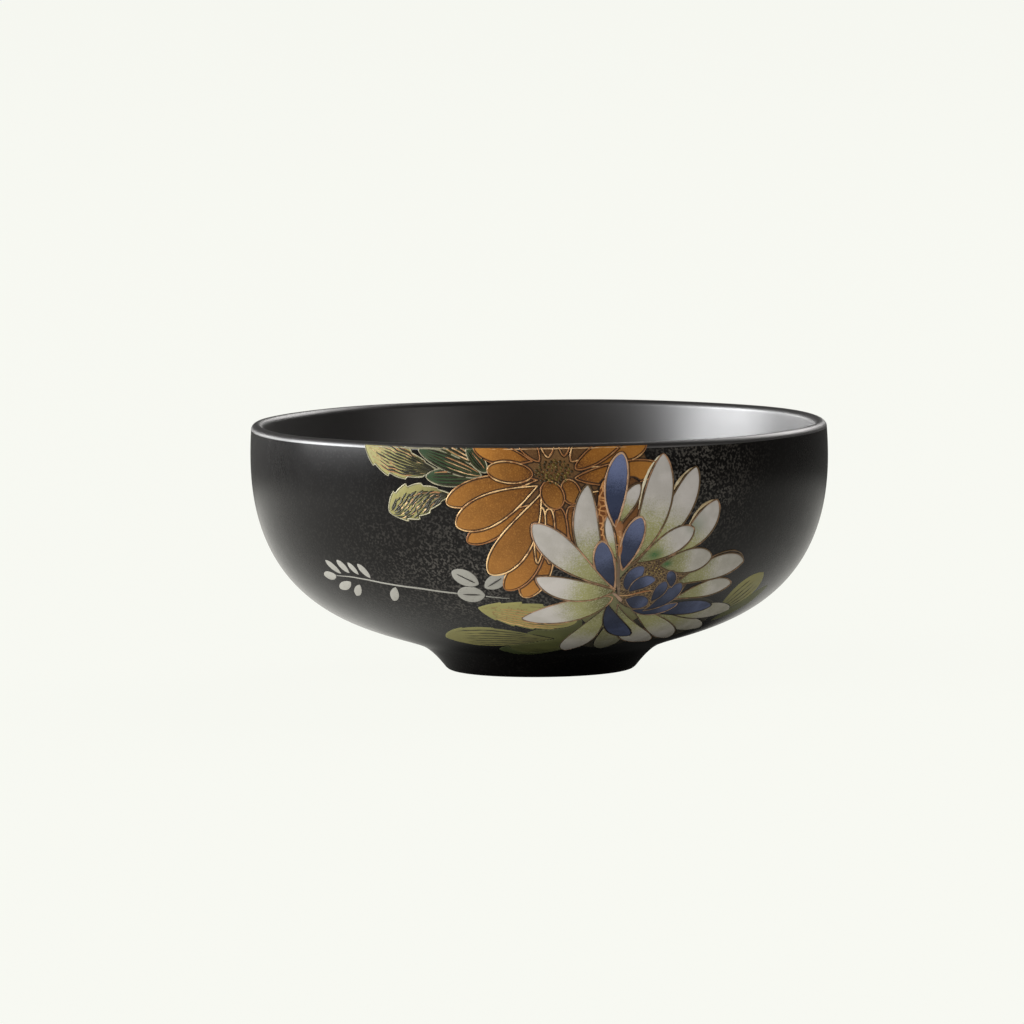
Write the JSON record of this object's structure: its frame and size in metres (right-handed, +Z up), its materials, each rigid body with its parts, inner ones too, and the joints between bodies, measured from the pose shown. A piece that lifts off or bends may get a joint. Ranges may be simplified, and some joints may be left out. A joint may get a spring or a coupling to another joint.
{
  "type": "tea cup",
  "caption": "Small round footed tea cup of black stoneware, its front painted with gilt-lined chrysanthemums and leaves, for holding a drink.",
  "frame": {"origin": "centre of the foot ring's resting face", "axes": "+Z up along the cup's axis, -Y towards the decorated front, +X to the right as seen from the front"},
  "size_m": [0.092, 0.092, 0.0395],
  "materials": {
    "black_stoneware": "matte",
    "gilding": "satin",
    "ochre_enamel": "satin",
    "white_enamel": "satin",
    "blue_enamel": "satin",
    "leaf_enamel": "satin",
    "grey_enamel": "satin"
  },
  "bodies": {
    "root": {"cup": "black_stoneware"}
  },
  "joints": []
}
